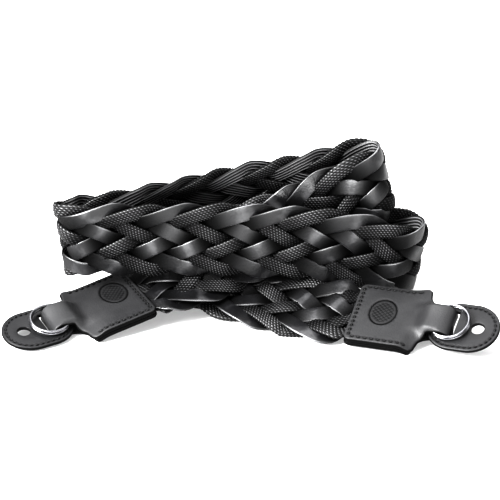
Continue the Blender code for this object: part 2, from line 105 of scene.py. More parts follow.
HALF_WIDTH = BAND_WIDTH / 2
MOUTH = -NECK_LENGTH - TAB_LENGTH
TURN = HALF_WIDTH - STRAND_WIDTH / 2
END_WIDTH = TAB_WIDTH - 2 * (SEAM + GAP)
POCKET_HEIGHT = 0.6 * LEATHER + 2 * GAP
TAB_THICKNESS = 2 * LEATHER + POCKET_HEIGHT
MOUTH_REACH = 1.3 * POCKET_DEPTH
RING_RADIUS = (RING_DIAMETER - RING_WIRE) / 2
TAB_FLOOR = -PROTECTOR_THICKNESS - GAP - LEATHER
TAB_MIDDLE = TAB_FLOOR + TAB_THICKNESS / 2
BEND_START = -0.45 * NECK_LENGTH
BEND_END = -1.50 * NECK_LENGTH

# Looks of the strands, in metres; the back's reach is a share of its width, the twist's pitch in mm
LEATHER_STRANDS = (1, 3, 4, 6, 8)
STRIP_THICKNESS = 0.0012
STRIP_WIDTH = 0.0062
STRIP_CROWN = 0.00008
STRIP_RIB = 0.00048
STRIP_RIBS = 5
STRIP_BEAD = 0.00005
BACK_REACH = 0.97
TWIST_PITCH = 0.55
CORD_WIDTH = 0.0052
CORD_THICKNESS = 0.0018
CORD_ROWS = 14
STITCH_PERIOD = 0.0013
STITCH_RELIEF = 0.00032
LIFT = 0.00128
STRAND_INSIDE = 0.006


# Short calls

def walked(line):
    """Length walked along a line at each of its points."""
    return np.concatenate([[0], np.cumsum(np.hypot.reduce(np.diff(line, axis=0), axis=1))])


def line_at(line, at):
    """Points of a line at walked lengths."""
    return np.stack([np.interp(at, walked(line), track) for track in line.T], axis=-1)


def left_normals(run):
    """Unit normals to the left of a flat line's directions."""
    run = run / np.hypot(*run.T)[:, None]
    return np.stack([-run[:, 1], run[:, 0]], axis=-1)


def smooth_step(low, high, x):
    """0 at low, 1 at high, smooth between; low may be the larger one."""
    share = np.clip((x - low) / (high - low), 0, 1)
    return share * share * (3 - 2 * share)


def smooth_down(high, low, x):
    """1 below low, 0 above high."""
    return 1 - smooth_step(low, high, x)


def linked(name, data):
    """A new object in the scene."""
    made = bpy.data.objects.new(name, data)
    bpy.context.scene.collection.objects.link(made)
    return made


def aimed(name, data, place, aim):
    """A camera or a light at its place, turned towards its aim."""
    made = linked(name, data)
    made.location = place
    made.rotation_euler = (aim - made.location).to_track_quat("-Z", "Y").to_euler()
    return made


# Route of the band

def end_matrix(end):
    """The protector's frame: x out from the strap, z up from its face."""
    turn = Euler([math.radians(end["roll"]), -math.radians(end["pitch"]), math.radians(end["yaw"])], "XYZ")
    place = Vector((end["x"] * COIL_LENGTH, end["y"] * COIL_LENGTH, end["z"] * BAND_WIDTH))
    return Matrix.Translation(place) @ turn.to_matrix().to_4x4()


def neck_bend(end, share):
    """Turn of the tab against the protector, shared out along the neck."""
    turn = Euler([math.radians(end[key]) * share * sign
                  for key, sign in (("tab_roll", 1), ("tab_pitch", -1), ("tab_yaw", 1))], "XYZ")
    pivot = Matrix.Translation(Vector((-NECK_LENGTH, 0, TAB_MIDDLE)))
    return pivot @ turn.to_matrix().to_4x4() @ pivot.inverted()


def tab_points(end):
    """Centre line inside a tab, from the pocket's end to just outside its mouth."""
    place = end_matrix(end) @ neck_bend(end, 1.0)
    return [place @ Vector((MOUTH + share * POCKET_DEPTH, 0, TAB_MIDDLE))
            for share in (1.0, 0.75, 0.5, 0.25, 0.0, -0.2)]


def tab_lean(end, heading):
    """Lean that lays the band flat in its tab."""
    normal = (end_matrix(end) @ neck_bend(end, 1.0)).to_3x3() @ Vector((0, 0, 1))
    outward = Vector((0, 0, 1)).cross(heading).normalized()
    upward = heading.cross(outward)
    return -math.degrees(math.atan2(normal.dot(upward), normal.dot(outward)))


def control_points():
    """Points and leans of the whole centre line, the two pockets included."""
    right, left = ENDS_BY_NAME["right"], ENDS_BY_NAME["left"]
    start = tab_points(right)
    finish = tab_points(left)[::-1]
    start_lean = tab_lean(right, (start[-1] - start[0]).normalized())
    finish_lean = tab_lean(left, (finish[-1] - finish[0]).normalized())
    points = [(*p, start_lean) for p in start]
    points += [(x * COIL_LENGTH, y * COIL_LENGTH, z * BAND_WIDTH, lean) for x, y, z, lean in ROUTE]
    return np.array(points + [(*p, finish_lean) for p in finish])


def spline(knots, values, at):
    """Natural cubic spline through values at knots."""
    count = len(knots)
    width = np.diff(knots)
    system = np.eye(count)
    target = np.zeros_like(values)
    for i in range(1, count - 1):
        system[i, i - 1:i + 2] = width[i - 1], 2 * (width[i - 1] + width[i]), width[i]
        target[i] = 6 * ((values[i + 1] - values[i]) / width[i] - (values[i] - values[i - 1]) / width[i - 1])
    bend = np.linalg.solve(system, target)
    k = np.clip(np.searchsorted(knots, at) - 1, 0, count - 2)
    h = width[k][:, None]
    a = (knots[k + 1] - at)[:, None] / h
    b = 1 - a
    return a * values[k] + b * values[k + 1] + ((a**3 - a) * bend[k] + (b**3 - b) * bend[k + 1]) * h * h / 6


class Route:
    """The centre line with its frame, sampled evenly along its length."""

    def __init__(self, samples=1600):
        points = control_points()
        knots = walked(points[:, :3])
        fine = np.linspace(0, knots[-1], 4 * samples)
        along = walked(spline(knots, points, fine)[:, :3])
        self.length = along[-1]
        self.s = np.linspace(0, self.length, samples)
        track = spline(knots, points, np.interp(self.s, along, fine))
        self.centre = track[:, :3]
        heading = np.gradient(self.centre, self.s, axis=0)
        heading /= np.linalg.norm(heading, axis=1)[:, None]
        outward = np.cross((0, 0, 1), heading)
        outward /= np.linalg.norm(outward, axis=1)[:, None]
        upward = np.cross(heading, outward)
        lean = np.radians(track[:, 3])[:, None]
        self.across = np.cos(lean) * upward + np.sin(lean) * outward
        self.normal = np.cos(lean) * outward - np.sin(lean) * upward

    def place(self, s, v, n):
        """World points at lengths s, v across the band and n out from its middle."""
        at = [np.stack([np.interp(s, self.s, track[:, i]) for i in range(3)], axis=-1)
              for track in (self.centre, self.across, self.normal)]
        return at[0] + v[..., None] * at[1] + n[..., None] * at[2] + SHIFT


ENDS_BY_NAME = {values[0]: dict(zip(END_COLUMNS, values)) for values in ENDS}


def ring_lift(end):
    """Height of the ring's centre over the protector."""
    return GAP + RING_WIRE + RING_DIAMETER / 2 * math.sin(math.radians(abs(end["ring_tilt"])))


def frame_shift():
    """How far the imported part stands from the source's own coordinates."""
    found = []
    for name, end in ENDS_BY_NAME.items():
        low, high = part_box("split_ring_" + name)
        found.append(np.array((low + high) / 2 - end_matrix(end) @ Vector((0, 0, ring_lift(end)))))
    return np.mean(found, axis=0)


SHIFT = frame_shift()
ROUTE_LINE = Route()


# Camera

CAMERA_AIM = (0.0, 0.040, 0.025)
CAMERA_DISTANCE = 0.750
CAMERA_ELEVATION = 27
CAMERA_LENS = 143.1
CAMERA_SHIFT = -0.0143


def make_camera():
    """Camera of the photograph's view."""
    data = bpy.data.cameras.new("camera")
    data.lens, data.shift_y = CAMERA_LENS, CAMERA_SHIFT
    data.clip_start, data.clip_end = 0.01, 10.0
    aim = Vector(CAMERA_AIM) + Vector(SHIFT)
    elevation = math.radians(CAMERA_ELEVATION)
    back = CAMERA_DISTANCE * Vector((0, -math.cos(elevation), math.sin(elevation)))
    bpy.context.scene.camera = aimed("camera", data, aim + back, aim)


make_camera()


# Materials

class Nodes:
    """Short calls for building one material's nodes."""

    def __init__(self, name, **shader):
        self.material = bpy.data.materials.new(name)
        self.material.use_nodes = True
        self.tree = self.material.node_tree
        self.shader = self.tree.nodes["Principled BSDF"]
        for key, value in shader.items():
            self.put(value, self.shader.inputs[key.replace("_", " ")])
        self.points = self.add("ShaderNodeTexCoord")

    def put(self, value, socket):
        """Gives a socket its value, or links it to another node's output."""
        if isinstance(value, bpy.types.NodeSocket):
            self.tree.links.new(value, socket)
        else:
            socket.default_value = value

    def add(self, kind, **settings):
        """A node; settings are its own properties, or what goes into its sockets, by socket name."""
        node = self.tree.nodes.new(kind)
        for key, value in settings.items():
            if hasattr(node, key):
                setattr(node, key, value)
            else:
                self.put(value, node.inputs[key.replace("_", " ")])
        return node

    def noise(self, scale, detail=3.0, rough=0.5):
        """Noise over the piece."""
        place = self.points.outputs["Object"]
        node = self.add("ShaderNodeTexNoise", Vector=place, Scale=scale, Detail=detail, Roughness=rough)
        return node.outputs["Fac"]

    def strand_map(self):
        """A strand's own map: share of the way around it, and millimetres along it."""
        node = self.add("ShaderNodeSeparateXYZ", Vector=self.points.outputs["UV"])
        return node.outputs["X"], node.outputs["Y"]

    def rise(self):
        """1 on a float or plain leather, 0 in a dip, a pressed line or on a wall; the materials darken their
        colour where it is low, as painted shade, and the strips' floats get a painted highlight where it is
        high.
        """
        return self.add("ShaderNodeAttribute", attribute_name="rise").outputs["Fac"]

    def math(self, operation, *values):
        """One math node."""
        node = self.add("ShaderNodeMath", operation=operation)
        for value, socket in zip(values, node.inputs):
            self.put(value, socket)
        return node.outputs[0]

    def times(self, a, b, plus=0.0):
        """a times b, plus a third value."""
        return self.math("MULTIPLY_ADD", a, b, plus)

    def range(self, value, low, high, to_low, to_high):
        """Maps one range onto another."""
        node = self.add("ShaderNodeMapRange", Value=value, From_Min=low, From_Max=high, To_Min=to_low,
                        To_Max=to_high)
        return node.outputs["Result"]

    def colour(self, value, *stops):
        """Colour ramp on a value; a stop is its place, its red and green alike, and its blue."""
        node = self.add("ShaderNodeValToRGB", Fac=value)
        ramp = node.color_ramp
        while len(ramp.elements) < len(stops):
            ramp.elements.new(0.5)
        for element, (place, grey, blue) in zip(ramp.elements, stops):
            element.position, element.color = place, (grey, grey, blue, 1.0)
        return node.outputs["Color"]

    def vary(self, noise, dark, light, smooth, rough):
        """Colour and roughness that follow one noise."""
        return self.colour(noise, (0.3, *dark), (0.7, *light)), self.range(noise, 0.3, 0.7, smooth, rough)

    def gloss(self, value, low, high):
        """Lets the strength of the gloss follow a value; the socket's own number is the middle."""
        socket = self.shader.inputs["Specular IOR Level"]
        socket.default_value = (low + high) / 2
        self.put(self.range(value, 0.0, 1.0, low, high), socket)

    def grain(self, fine, pore_depth, fine_depth):
        """Leather's bumps: pores, fine grain and slow waves."""
        pores = self.add("ShaderNodeTexVoronoi", Vector=self.points.outputs["Object"], Scale=1500.0)
        return ((pores.outputs["Distance"], pore_depth, 0.4), (fine, fine_depth, 0.4),
                (self.noise(200.0), 0.00016, 0.6))

    def finish(self, colour, roughness, *bumps):
        """Joins colour, roughness and a stack of bumps, each a height, a distance and a strength."""
        self.put(colour, self.shader.inputs["Base Color"])
        self.put(roughness, self.shader.inputs["Roughness"])
        after = self.shader.inputs["Normal"]
        for height, distance, strength in bumps[::-1]:
            node = self.add("ShaderNodeBump", Height=height, Strength=strength, Distance=distance)
            self.put(node.outputs["Normal"], after)
            after = node.inputs["Normal"]
        return self.material


def leather_material(name, dark, light, rough_low, rough_high, grain):
    """Dyed smooth leather: fine grain and pores, with painted shade in its pressed and sewn lines and on its
    walls.
    """
    n = Nodes(name)
    plain = n.rise()
    slow = n.noise(70.0, 4.0)
    fine = n.noise(2600.0, 4.0, 0.6)
    colour = n.colour(slow, (0.3, *dark), (0.7, *light))
    # Painted shade: near black where plain is low, in stitch slots, pressed grooves and on walls.
    mixed = n.add("ShaderNodeMix", data_type="RGBA", blend_type="MIX")
    for value, socket in ((plain, 0), ((0.003, 0.003, 0.003, 1.0), 6), (colour, 7)):
        n.put(value, mixed.inputs[socket])
    n.gloss(plain, 0.06, 0.40)
    rough = n.range(n.times(slow, 0.6, n.times(fine, 0.4)), 0.3, 0.7, rough_low, rough_high)
    return n.finish(mixed.outputs[2], rough, *n.grain(fine, grain, 0.6 * grain))


def strip_material():
    """Smooth face of the strips: a painted highlight on the floats, lighter edges from edge wear and a
    painted highlight, dull with painted shade in the dips.
    """
    n = Nodes("strip_leather")
    around = n.strand_map()[0]
    rise = n.math("POWER", n.rise(), 1.5)
    edge = n.range(n.math("ABSOLUTE", n.times(around, 2.0, -1.0)), 0.88, 0.97, 0.0, 1.0)
    slow = n.noise(90.0, 4.0)
    fine = n.noise(2600.0, 4.0, 0.6)
    # Painted highlight in the middle of each float, fading to painted shade where the strand dips; slow noise
    # varies it from float to float.
    painted_float_highlight = n.times(rise, n.range(slow, 0.35, 0.65, 0.22, 0.72))
    # Edges lighter from edge wear with a painted highlight on them, stronger on the floats.
    painted_highlight_and_edge_wear = n.times(n.times(edge, n.times(rise, 0.8, 0.2)), 0.45, painted_float_highlight)
    colour = n.colour(painted_highlight_and_edge_wear, (0.0, 0.0015, 0.0015), (0.45, 0.010, 0.011), (1.0, 0.13, 0.133))
    rough = n.times(fine, 0.14, n.range(rise, 0.0, 1.0, 0.52, 0.25))
    n.gloss(n.times(edge, 0.25, rise), 0.12, 0.85)
    return n.finish(colour, rough, *n.grain(fine, 0.00010, 0.00007))


def rib_material():
    """Back of the strips: dull ribs with a painted highlight on their tops, painted shade in the furrows, and
    a fine twist across them.
    """
    n = Nodes("strip_back")
    around, along = n.strand_map()
    n.gloss(n.rise(), 0.10, 0.7)
    turns = math.pi * STRIP_RIBS / BACK_REACH
    furrow = n.math("COSINE", n.times(around, -2 * turns, (1 + BACK_REACH) * turns))
    twist = n.math("SINE", n.times(along, 2 * math.pi / TWIST_PITCH, n.times(around, 34.0)))
    fine = n.noise(2400.0, 4.0)
    # Painted highlight on the rib tops and painted shade in the furrows.
    colour = n.colour(n.range(furrow, -1.0, 1.0, 0.0, 1.0), (0.0, 0.15, 0.153), (0.35, 0.03, 0.031),
                      (0.7, 0.002, 0.002))
    rough = n.range(fine, 0.3, 0.7, 0.36, 0.52)
    return n.finish(colour, rough, (twist, 0.00005, 0.6), (fine, 0.00005, 0.6))


def cord_material():
    """Waxed textile cord: rows of slanting stitches, with a painted highlight on their crests, painted shade
    between them and where the cord dips.
    """
    n = Nodes("cord_yarn")
    around, along = n.strand_map()
    rows = n.times(around, CORD_ROWS)
    in_row = n.math("FRACT", rows)
    stagger = n.math("FRACT", n.times(n.math("FLOOR", rows), 0.5))
    stitch = n.times(along, 0.001 / STITCH_PERIOD, stagger)
    phase = n.math("FRACT", n.math("ADD", stitch, n.times(in_row, 0.5, -0.25)))
    crest = n.times(*(n.math("POWER", n.math("SINE", n.times(place, math.pi)), power)
                      for place, power in ((in_row, 0.9), (phase, 1.5))))
    rise = n.rise()
    # Painted shade where the cord dips under the others.
    crest = n.times(crest, n.range(rise, 0.0, 1.0, 0.70, 1.0))
    n.gloss(rise, 0.20, 0.42)
    fine = n.noise(3000.0)
    # Painted highlight on the stitch crests and painted shade in the gaps between them.
    colour = n.colour(crest, (0.2, 0.002, 0.002), (0.6, 0.014, 0.015), (0.95, 0.145, 0.148))
    return n.finish(colour, n.range(fine, 0.3, 0.7, 0.40, 0.58), (crest, 0.00025, 0.9), (fine, 0.00004, 0.5))


def thread_material():
    """Black sewing thread."""
    n = Nodes("thread", Specular_IOR_Level=0.4)
    fine = n.noise(5000.0, 2.0)
    return n.finish(*n.vary(fine, (0.004, 0.004), (0.010, 0.011), 0.45, 0.7), (fine, 0.00005, 0.6))


def steel_material():
    """Polished wire with faint marks of drawing and wear."""
    n = Nodes("polished_wire", Metallic=1.0)
    looks = n.vary(n.noise(300.0, 4.0), (0.18, 0.19), (0.28, 0.29), 0.27, 0.36)
    return n.finish(*looks, (n.noise(4000.0, 2.0), 0.000004, 0.3))


def floor_material():
    """Pale matt table."""
    white = (1.0, 1.0, 1.0, 1.0)
    n = Nodes("pale_table", Specular_IOR_Level=0.2, Emission_Color=white, Emission_Strength=0.36)
    return n.finish(*n.vary(n.noise(3.0, 2.0), (0.44, 0.44), (0.47, 0.47), 0.7, 0.8))


TAB_LEATHER = leather_material("tab_leather", (0.022, 0.023), (0.034, 0.035), 0.45, 0.55, 0.00010)
TONGUE_LEATHER = leather_material("tongue_leather", (0.011, 0.012), (0.019, 0.020), 0.40, 0.50, 0.00008)
STRIP_LEATHER = strip_material()
STRIP_BACK = rib_material()
CORD_YARN = cord_material()
THREAD = thread_material()
STEEL = steel_material()


# Meshes

def piece_from(name, points, faces, materials, marks=None, uvs=None, rise=None):
    """A smooth object from arrays: marks for the faces' materials, uvs and rise for the points."""
    mesh = bpy.data.meshes.new(name)
    mesh.from_pydata(points.tolist(), [], faces)
    for material in materials:
        mesh.materials.append(material)
    if marks is not None:
        mesh.polygons.foreach_set("material_index", np.asarray(marks, np.int32))
    if uvs is not None:
        layer = mesh.uv_layers.new(name="along")
        corner = np.empty(len(mesh.loops), np.int32)
        mesh.loops.foreach_get("vertex_index", corner)
        layer.data.foreach_set("uv", np.asarray(uvs, np.float32)[corner].ravel())
    if rise is not None:
        layer = mesh.attributes.new("rise", "FLOAT", "POINT")
        layer.data.foreach_set("value", np.asarray(rise, np.float32).ravel())
    mesh.validate()
    mesh.update()
    mesh.shade_smooth()
    return linked(name, mesh)


def weld(made, distance=2e-6):
    """Joins the seams of a piece's patches and turns all faces out."""
    bm = bmesh.new()
    bm.from_mesh(made.data)
    bmesh.ops.remove_doubles(bm, verts=bm.verts[:], dist=distance)
    bmesh.ops.dissolve_degenerate(bm, edges=bm.edges[:], dist=1e-7)
    bmesh.ops.recalc_face_normals(bm, faces=bm.faces[:])
    bm.to_mesh(made.data)
    bm.free()
    made.data.shade_smooth()


def tube_faces(rings, around, start=0):
    """Quads of a tube of rings, with one face over each of its two ends."""
    i = np.arange(rings - 1)[:, None] * around
    j = np.arange(around)
    k = (j + 1) % around
    quads = np.stack([i + j, i + k, i + around + k, i + around + j], axis=-1).reshape(-1, 4) + start
    first = start + j
    return quads.tolist() + [first[::-1].tolist(), (first + (rings - 1) * around).tolist()]


def to_world(matrix, x, y, z):
    """World points of places in an end's own frame."""
    local = np.stack([x, y, z, np.ones_like(x)], axis=-1)
    return (local @ np.array(matrix).T)[..., :3] + SHIFT


# Strands

SLANT = 1.12
EDGE_REACH = 1.5
SWITCHES = np.array((0.0, 2.5, 4.5, 6.5, 9.0, 11.5, 13.5, 15.5, 18.0))
FRONT_RISE = ((0, 0.9), (0.8, 1), (2.5, 0), (4.5, 0), (5.5, 1), (6.5, 0), (7.8, 0), (9, 0.9),
              (9.8, 1), (11.5, 0), (13.5, 0), (14.5, 1), (15.5, 0), (16.8, 0), (18, 0.9))
# How the braid gives way near the tabs; each change fades out between two lengths from the band's end
WIDER, WIDER_FADE = 0.10, (0.080, 0.040)
LOWER, LOWER_FADE = 0.0016, (0.085, 0.045)
OUTER, OUTER_FADE = 0.0024, (0.056, 0.036)
TAB_FADE = (POCKET_DEPTH - 0.0005, POCKET_DEPTH + 0.003)
# Where the lower edge of some strands sags: strands, place along the band, reach and drop
SAGS = ((range(STRAND_COUNT), 0.345, 0.013, 0.0012), ((5,), 0.600, 0.012, 0.0022))


def lattice_level(t):
    """Place across the band, -1 to 1, of a strand at t half pitches after its turn at the lower edge."""
    half = STRAND_COUNT / 2
    near = np.abs((t + half) % STRAND_COUNT - half)
    sign = np.where(np.round(t / STRAND_COUNT).astype(int) % 2 == 0, -1.0, 1.0)
    share = near / STRAND_COUNT
    inner = (1 - ROUNDING) * (1 - 2 * share) + ROUNDING * np.cos(np.pi * share)
    e = EDGE_REACH
    angle = math.pi * e / STRAND_COUNT
    value = (1 - ROUNDING) * (1 - 2 * e / STRAND_COUNT) + ROUNDING * math.cos(angle)
    slope = (1 - ROUNDING) * 2 / STRAND_COUNT + ROUNDING * math.pi / STRAND_COUNT * math.sin(angle)
    c4 = (slope * e / 2 - (1 - value)) / e**4
    c2 = (1 - value) / e**2 - c4 * e**2
    return sign * np.where(near < e, 1 - c2 * near**2 - c4 * near**4, inner)


def lattice_side(t, firm=2.1):
    """1 where a strand lies on the smooth face, -1 on the other, smooth where it changes over."""
    x = t % (2 * STRAND_COUNT)
    k = np.clip(np.searchsorted(SWITCHES, x, side="right") - 1, 0, len(SWITCHES) - 2)
    share = (x - SWITCHES[k]) / (SWITCHES[k + 1] - SWITCHES[k])
    return np.where(k % 2 == 0, 1.0, -1.0) * np.tanh(firm * np.sin(np.pi * share)) / math.tanh(firm)


def lattice_rise(t, face):
    """1 in the middle of a float and at the turns, 0 where the strand dips; face is 1 for the smooth face."""
    return smooth_step(0, 1, np.interp(face * t % (2 * STRAND_COUNT), *np.array(FRONT_RISE).T))


def wander(t, seed, scale):
    """Slow smooth noise along a strand."""
    random = np.random.default_rng(seed)
    total = np.zeros_like(t)
    for i in range(1, 6):
        total += random.normal() * np.sin(t * i * 0.37 + random.uniform(0, 2 * np.pi)) / i
    return total * scale


def strand_line(strand, t):
    """Middle of a strand: its places along the band, across it and out from its middle."""
    s = (STRAND_START + strand - STRAND_COUNT / 2 + t / 2) * STRAND_PITCH
    v = TURN * lattice_level(t) + wander(t, 10 + strand, 0.00022)
    return np.stack([s, v, LIFT * lattice_side(t) + wander(t, 30 + strand, 0.00006)], axis=-1)


def strand_points(strand, t, across, up):
    """World points of a strand's rings: t for each ring, across and up for each point of it."""
    base = strand_line(strand, t)
    ds, dv, dn = (strand_line(strand, t + 0.02) - strand_line(strand, t - 0.02)).T
    flat = np.hypot(ds, dv)
    whole = np.hypot(flat, dn)
    side = np.stack([-dv / flat, ds / flat, 0 * ds], axis=-1)
    top = np.stack([-ds * dn / (flat * whole), -dv * dn / (flat * whole), flat / whole], axis=-1)
    roll = np.radians(wander(t, 50 + strand, 5.5))[:, None]
    side, top = np.cos(roll) * side + np.sin(roll) * top, np.cos(roll) * top - np.sin(roll) * side
    points = base[:, None] + across[..., None] * side[:, None] + up[..., None] * top[:, None]
    s, v, n = (points[..., i] for i in range(3))
    depth = np.minimum(s, ROUTE_LINE.length - s)
    squeeze = smooth_step(MOUTH_REACH, POCKET_DEPTH, depth)
    inside = np.clip((POCKET_DEPTH - depth) / STRAND_INSIDE, 0, 1)
    near_tab = smooth_step(*TAB_FADE, depth)
    v = v * (1 + squeeze * (END_WIDTH / BAND_WIDTH - 1))
    v = v * (1 + WIDER * near_tab * smooth_down(*WIDER_FADE, depth))
    v = v - LOWER * near_tab * smooth_down(*LOWER_FADE, depth)
    n = n + OUTER * np.clip(v / HALF_WIDTH, 0, 1) ** 1.5 * near_tab * smooth_down(*OUTER_FADE, s)
    for strands, place, reach, drop in SAGS:
        if strand in strands:
            fade = np.exp(-((s - place) / reach) ** 2)
            v = v - drop * near_tab * np.clip(-v / HALF_WIDTH, 0, 1) * fade
    n = n * (1 - 0.60 * squeeze - 0.2 * inside)
    placed = ROUTE_LINE.place(s, v, n)
    placed[..., 2] += np.maximum(-placed[..., 2].min(axis=1), 0.0)[:, None]
    return placed.reshape(-1, 3)


def strand_range(strand, step):
    """Ring places of a strand, from inside one tab to inside the other."""
    first = POCKET_DEPTH - STRAND_INSIDE
    last = ROUTE_LINE.length - first
    low, high = ((s / STRAND_PITCH - STRAND_START - strand + STRAND_COUNT / 2) * 2 for s in (first, last))
    return np.arange(math.ceil(low / step), math.floor(high / step) + 1) * step


def lay_strand(name, strand, t, section, around, front, materials, marks=None):
    """A strand's mesh from its section, across and up; front is 1 on its smooth face."""
    points = strand_points(strand, t, *section)
    along = t * STRAND_PITCH / 2 * 1000 * SLANT
    uvs = np.stack(np.broadcast_arrays(around, along[:, None]), axis=-1).reshape(-1, 2)
    # rise marks the floats for their painted highlight and the dips for their painted shade
    rise = front * lattice_rise(t, 1)[:, None] + (1 - front) * lattice_rise(t, -1)[:, None]
    faces = tube_faces(len(t), len(around))
    return piece_from(f"{name}_{strand}", points, faces, materials, marks, uvs, rise)


def make_strip(strand):
    """A leather strip: smooth and slightly crowned above, ribbed below."""
    t = strand_range(strand, 0.2)
    half_top = np.array((0.3, 0.6, 0.84, 0.92, 0.965, 0.99, 1.0))
    w_top = np.concatenate([-half_top[::-1], [0], half_top])
    w_low = np.linspace(BACK_REACH, -BACK_REACH, 4 * STRIP_RIBS + 1)
    edge_top = (1 - np.abs(w_top) ** 14) ** 0.5
    edge_low = (1 - np.abs(w_low) ** 8) ** 0.5
    rib = STRIP_RIB * (0.5 + 0.5 * np.cos(np.linspace(0, 2 * np.pi * STRIP_RIBS, len(w_low))))
    h_top = STRIP_THICKNESS / 2 * edge_top + STRIP_CROWN * (1 - w_top**2)
    h_top += STRIP_BEAD * np.exp(-((np.abs(w_top) - 0.93) / 0.05) ** 2)
    h_low = -STRIP_THICKNESS / 2 * edge_low + rib * edge_low
    w = np.concatenate([w_top, w_low])
    index = np.arange(len(w))
    wide = STRIP_WIDTH / 2 * (1 + wander(t, 70 + strand, 0.03))
    section = wide[:, None] * w, np.concatenate([h_top, h_low]) + 0 * t[:, None]
    marks = np.tile(np.where(index < len(w_top) - 1, 0, 1), len(t) - 1).tolist() + [0, 0]
    front = np.where(index < len(w_top), 1.0, 0.0)
    materials = (STRIP_LEATHER, STRIP_BACK)
    return lay_strand("leather_strip", strand, t, section, (w + 1) / 2, front, materials, marks)


def make_cord(strand):
    """A flat braided cord with rows of staggered stitches."""
    per_row, per_stitch = 2, 4
    step = STITCH_PERIOD / per_stitch / (STRAND_PITCH / 2 * SLANT)
    t = strand_range(strand, step)
    index = np.arange(CORD_ROWS * per_row)
    angle = np.linspace(0, 2 * np.pi, 721)
    x = np.sign(np.cos(angle)) * np.abs(np.cos(angle)) ** 0.85 * CORD_WIDTH / 2
    y = np.sign(np.sin(angle)) * np.abs(np.sin(angle)) ** 0.75 * CORD_THICKNESS / 2
    oval = np.stack([x, y], axis=-1)
    around = index / len(index)
    x, y = line_at(oval, around * walked(oval)[-1]).T
    out_x, out_y = x / CORD_WIDTH**2, y / CORD_THICKNESS**2
    length = np.hypot(out_x, out_y)
    rows, in_row = divmod(index, per_row)
    ring = np.round(t / step).astype(int)
    phase = (ring[:, None] + 2 * (rows % 2)) % per_stitch
    height = np.array((0.0, 0.75, 1.0, 0.75))[phase] * np.array((0.10, 1.0))[in_row] * STITCH_RELIEF
    section = x + out_x / length * height, y + out_y / length * height
    front = smooth_step(-0.3, 0.3, y / CORD_THICKNESS)
    return lay_strand("textile_cord", strand, t, section, around, front, (CORD_YARN,))


for number in range(STRAND_COUNT):
    strand_piece = make_strip(number) if number in LEATHER_STRANDS else make_cord(number)
    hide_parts("braided_band")
    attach(strand_piece, "root")


# Stitches

STITCH_LENGTH = 0.0015
# Slots of the stitches: reach, depth, length and width
TAB_SLOT = (0.003, 0.00038, 0.00080, 0.00055)
TONGUE_SLOT = (0.0025, 0.00028, 0.00075, 0.00048)
TAB_THREAD = 0.00029
TONGUE_THREAD = 0.00026


def seam_places(length, spacing):
    """Middles of a seam's stitches, as walked lengths."""
    count = int(round(length / spacing))
    return (np.arange(count) + 0.5) * length / count


def near_stitches(u, y, seam, reach):
    """The points near each stitch of a seam, with their distances along and beside it."""
    for spot, way in zip(*seam):
        du, dy = u - spot[0], y - spot[1]
        near = (np.abs(du) < reach) & (np.abs(dy) < reach)
        yield near, du[near] * way[0] + dy[near] * way[1], du[near] * way[1] - dy[near] * way[0]


def slots(u, y, seam, reach, deep, length, width):
    """Depth of the slots that a seam's stitches pull into the leather."""
    depth = 0 * u
    for near, along, beside in near_stitches(u, y, seam, reach):
        depth[near] += deep * np.exp(-(along / length) ** 2 - (beside / width) ** 2)
    return depth


def thread_piece(name, seam, place, radius):
    """Stitches as one mesh: bent threads whose ends dip into the leather, laid by place(u, y, depth)."""
    steps, sides = 9, 6
    share = np.linspace(-1, 1, steps)
    turn = np.linspace(0, 2 * np.pi, sides, endpoint=False)
    width = radius * (1 - 0.35 * np.abs(share) ** 4)
    middle = -0.00002 + 0.00042 * np.abs(share) ** 3.5
    a = (share * STITCH_LENGTH / 2)[:, None] + 0 * turn
    b = width[:, None] * np.cos(turn)
    depth = middle[:, None] - width[:, None] * np.sin(turn)
    points, faces = [], []
    for i, (spot, along) in enumerate(zip(*seam)):
        u = spot[0] + a * along[0] + b * along[1]
        y = spot[1] + a * along[1] - b * along[0]
        points.append(place(u, y, depth).reshape(-1, 3))
        faces.extend(tube_faces(steps, sides, i * steps * sides))
    made = piece_from(name, np.concatenate(points), faces, (THREAD,))
    weld(made, 1e-8)
    return made


# Tabs: one folded sheet each. u runs along the sheet from the upper mouth over the ring to the lower mouth.

EDGE_ROUND = 0.00045
EDGE_WALL = 0.00025
HUMP = (
    (-1.15, 0.0), (-1.0, 0.06), (-0.86, 0.22), (-0.74, 0.48), (-0.63, 0.78), (-0.54, 0.96), (-0.46, 1.0),
    (-0.34, 0.985), (-0.22, 0.93), (-0.12, 0.82), (-0.04, 0.66),
)
FOLD_SAMPLES = 1400
FOLD_SMOOTHING = 22
BEND_STEPS = 40
SEAM_START = TAB_LENGTH - 0.0016
SEAM_TURN = 0.0012
STITCH_INSET = 0.0017
STITCH_SPACING = 0.0024
CROWN_HEIGHT = 0.00030
WAVE_DEPTH = 0.00012
WAVE_START = {"right": 0.8, "left": 2.2}
NECK_WAVE = 0.00010
PUCKER_HEIGHT = 0.00010
SKIVE_DEPTH = 0.00030
EMBLEM_LENGTH = 0.0108
EMBLEM_WIDTH = 0.0154
EMBLEM_PLACE = {"right": (0.0114, 0.0010), "left": (0.0092, -0.0040)}
EMBLEM_GROOVE = 0.00034
LATTICE_PITCH = 0.0019
LATTICE_DEPTH = 0.00016
FINE_REACH = 0.0074
# Depth of a cut at which its painted shade is full
CUT_DEPTH = 0.00026
# The sheet's edge, outer face to inner: distance in, and depth as shares of EDGE_ROUND and of the thickness
EDGE = (
    (0.00055, 0.0, 0.0), (0.00032, 0.08, 0.0), (0.00014, 0.35, 0.0), (0.00003, 0.75, 0.0), (0.0, 1.1, 0.0),
    (0.0, 0.0, 0.88), (0.00012, 0.0, 0.985), (0.00045, 0.0, 1.0),
)


def even(line, count):
    """The same line with evenly spaced points."""
    return line_at(line, np.linspace(0, walked(line)[-1], count))


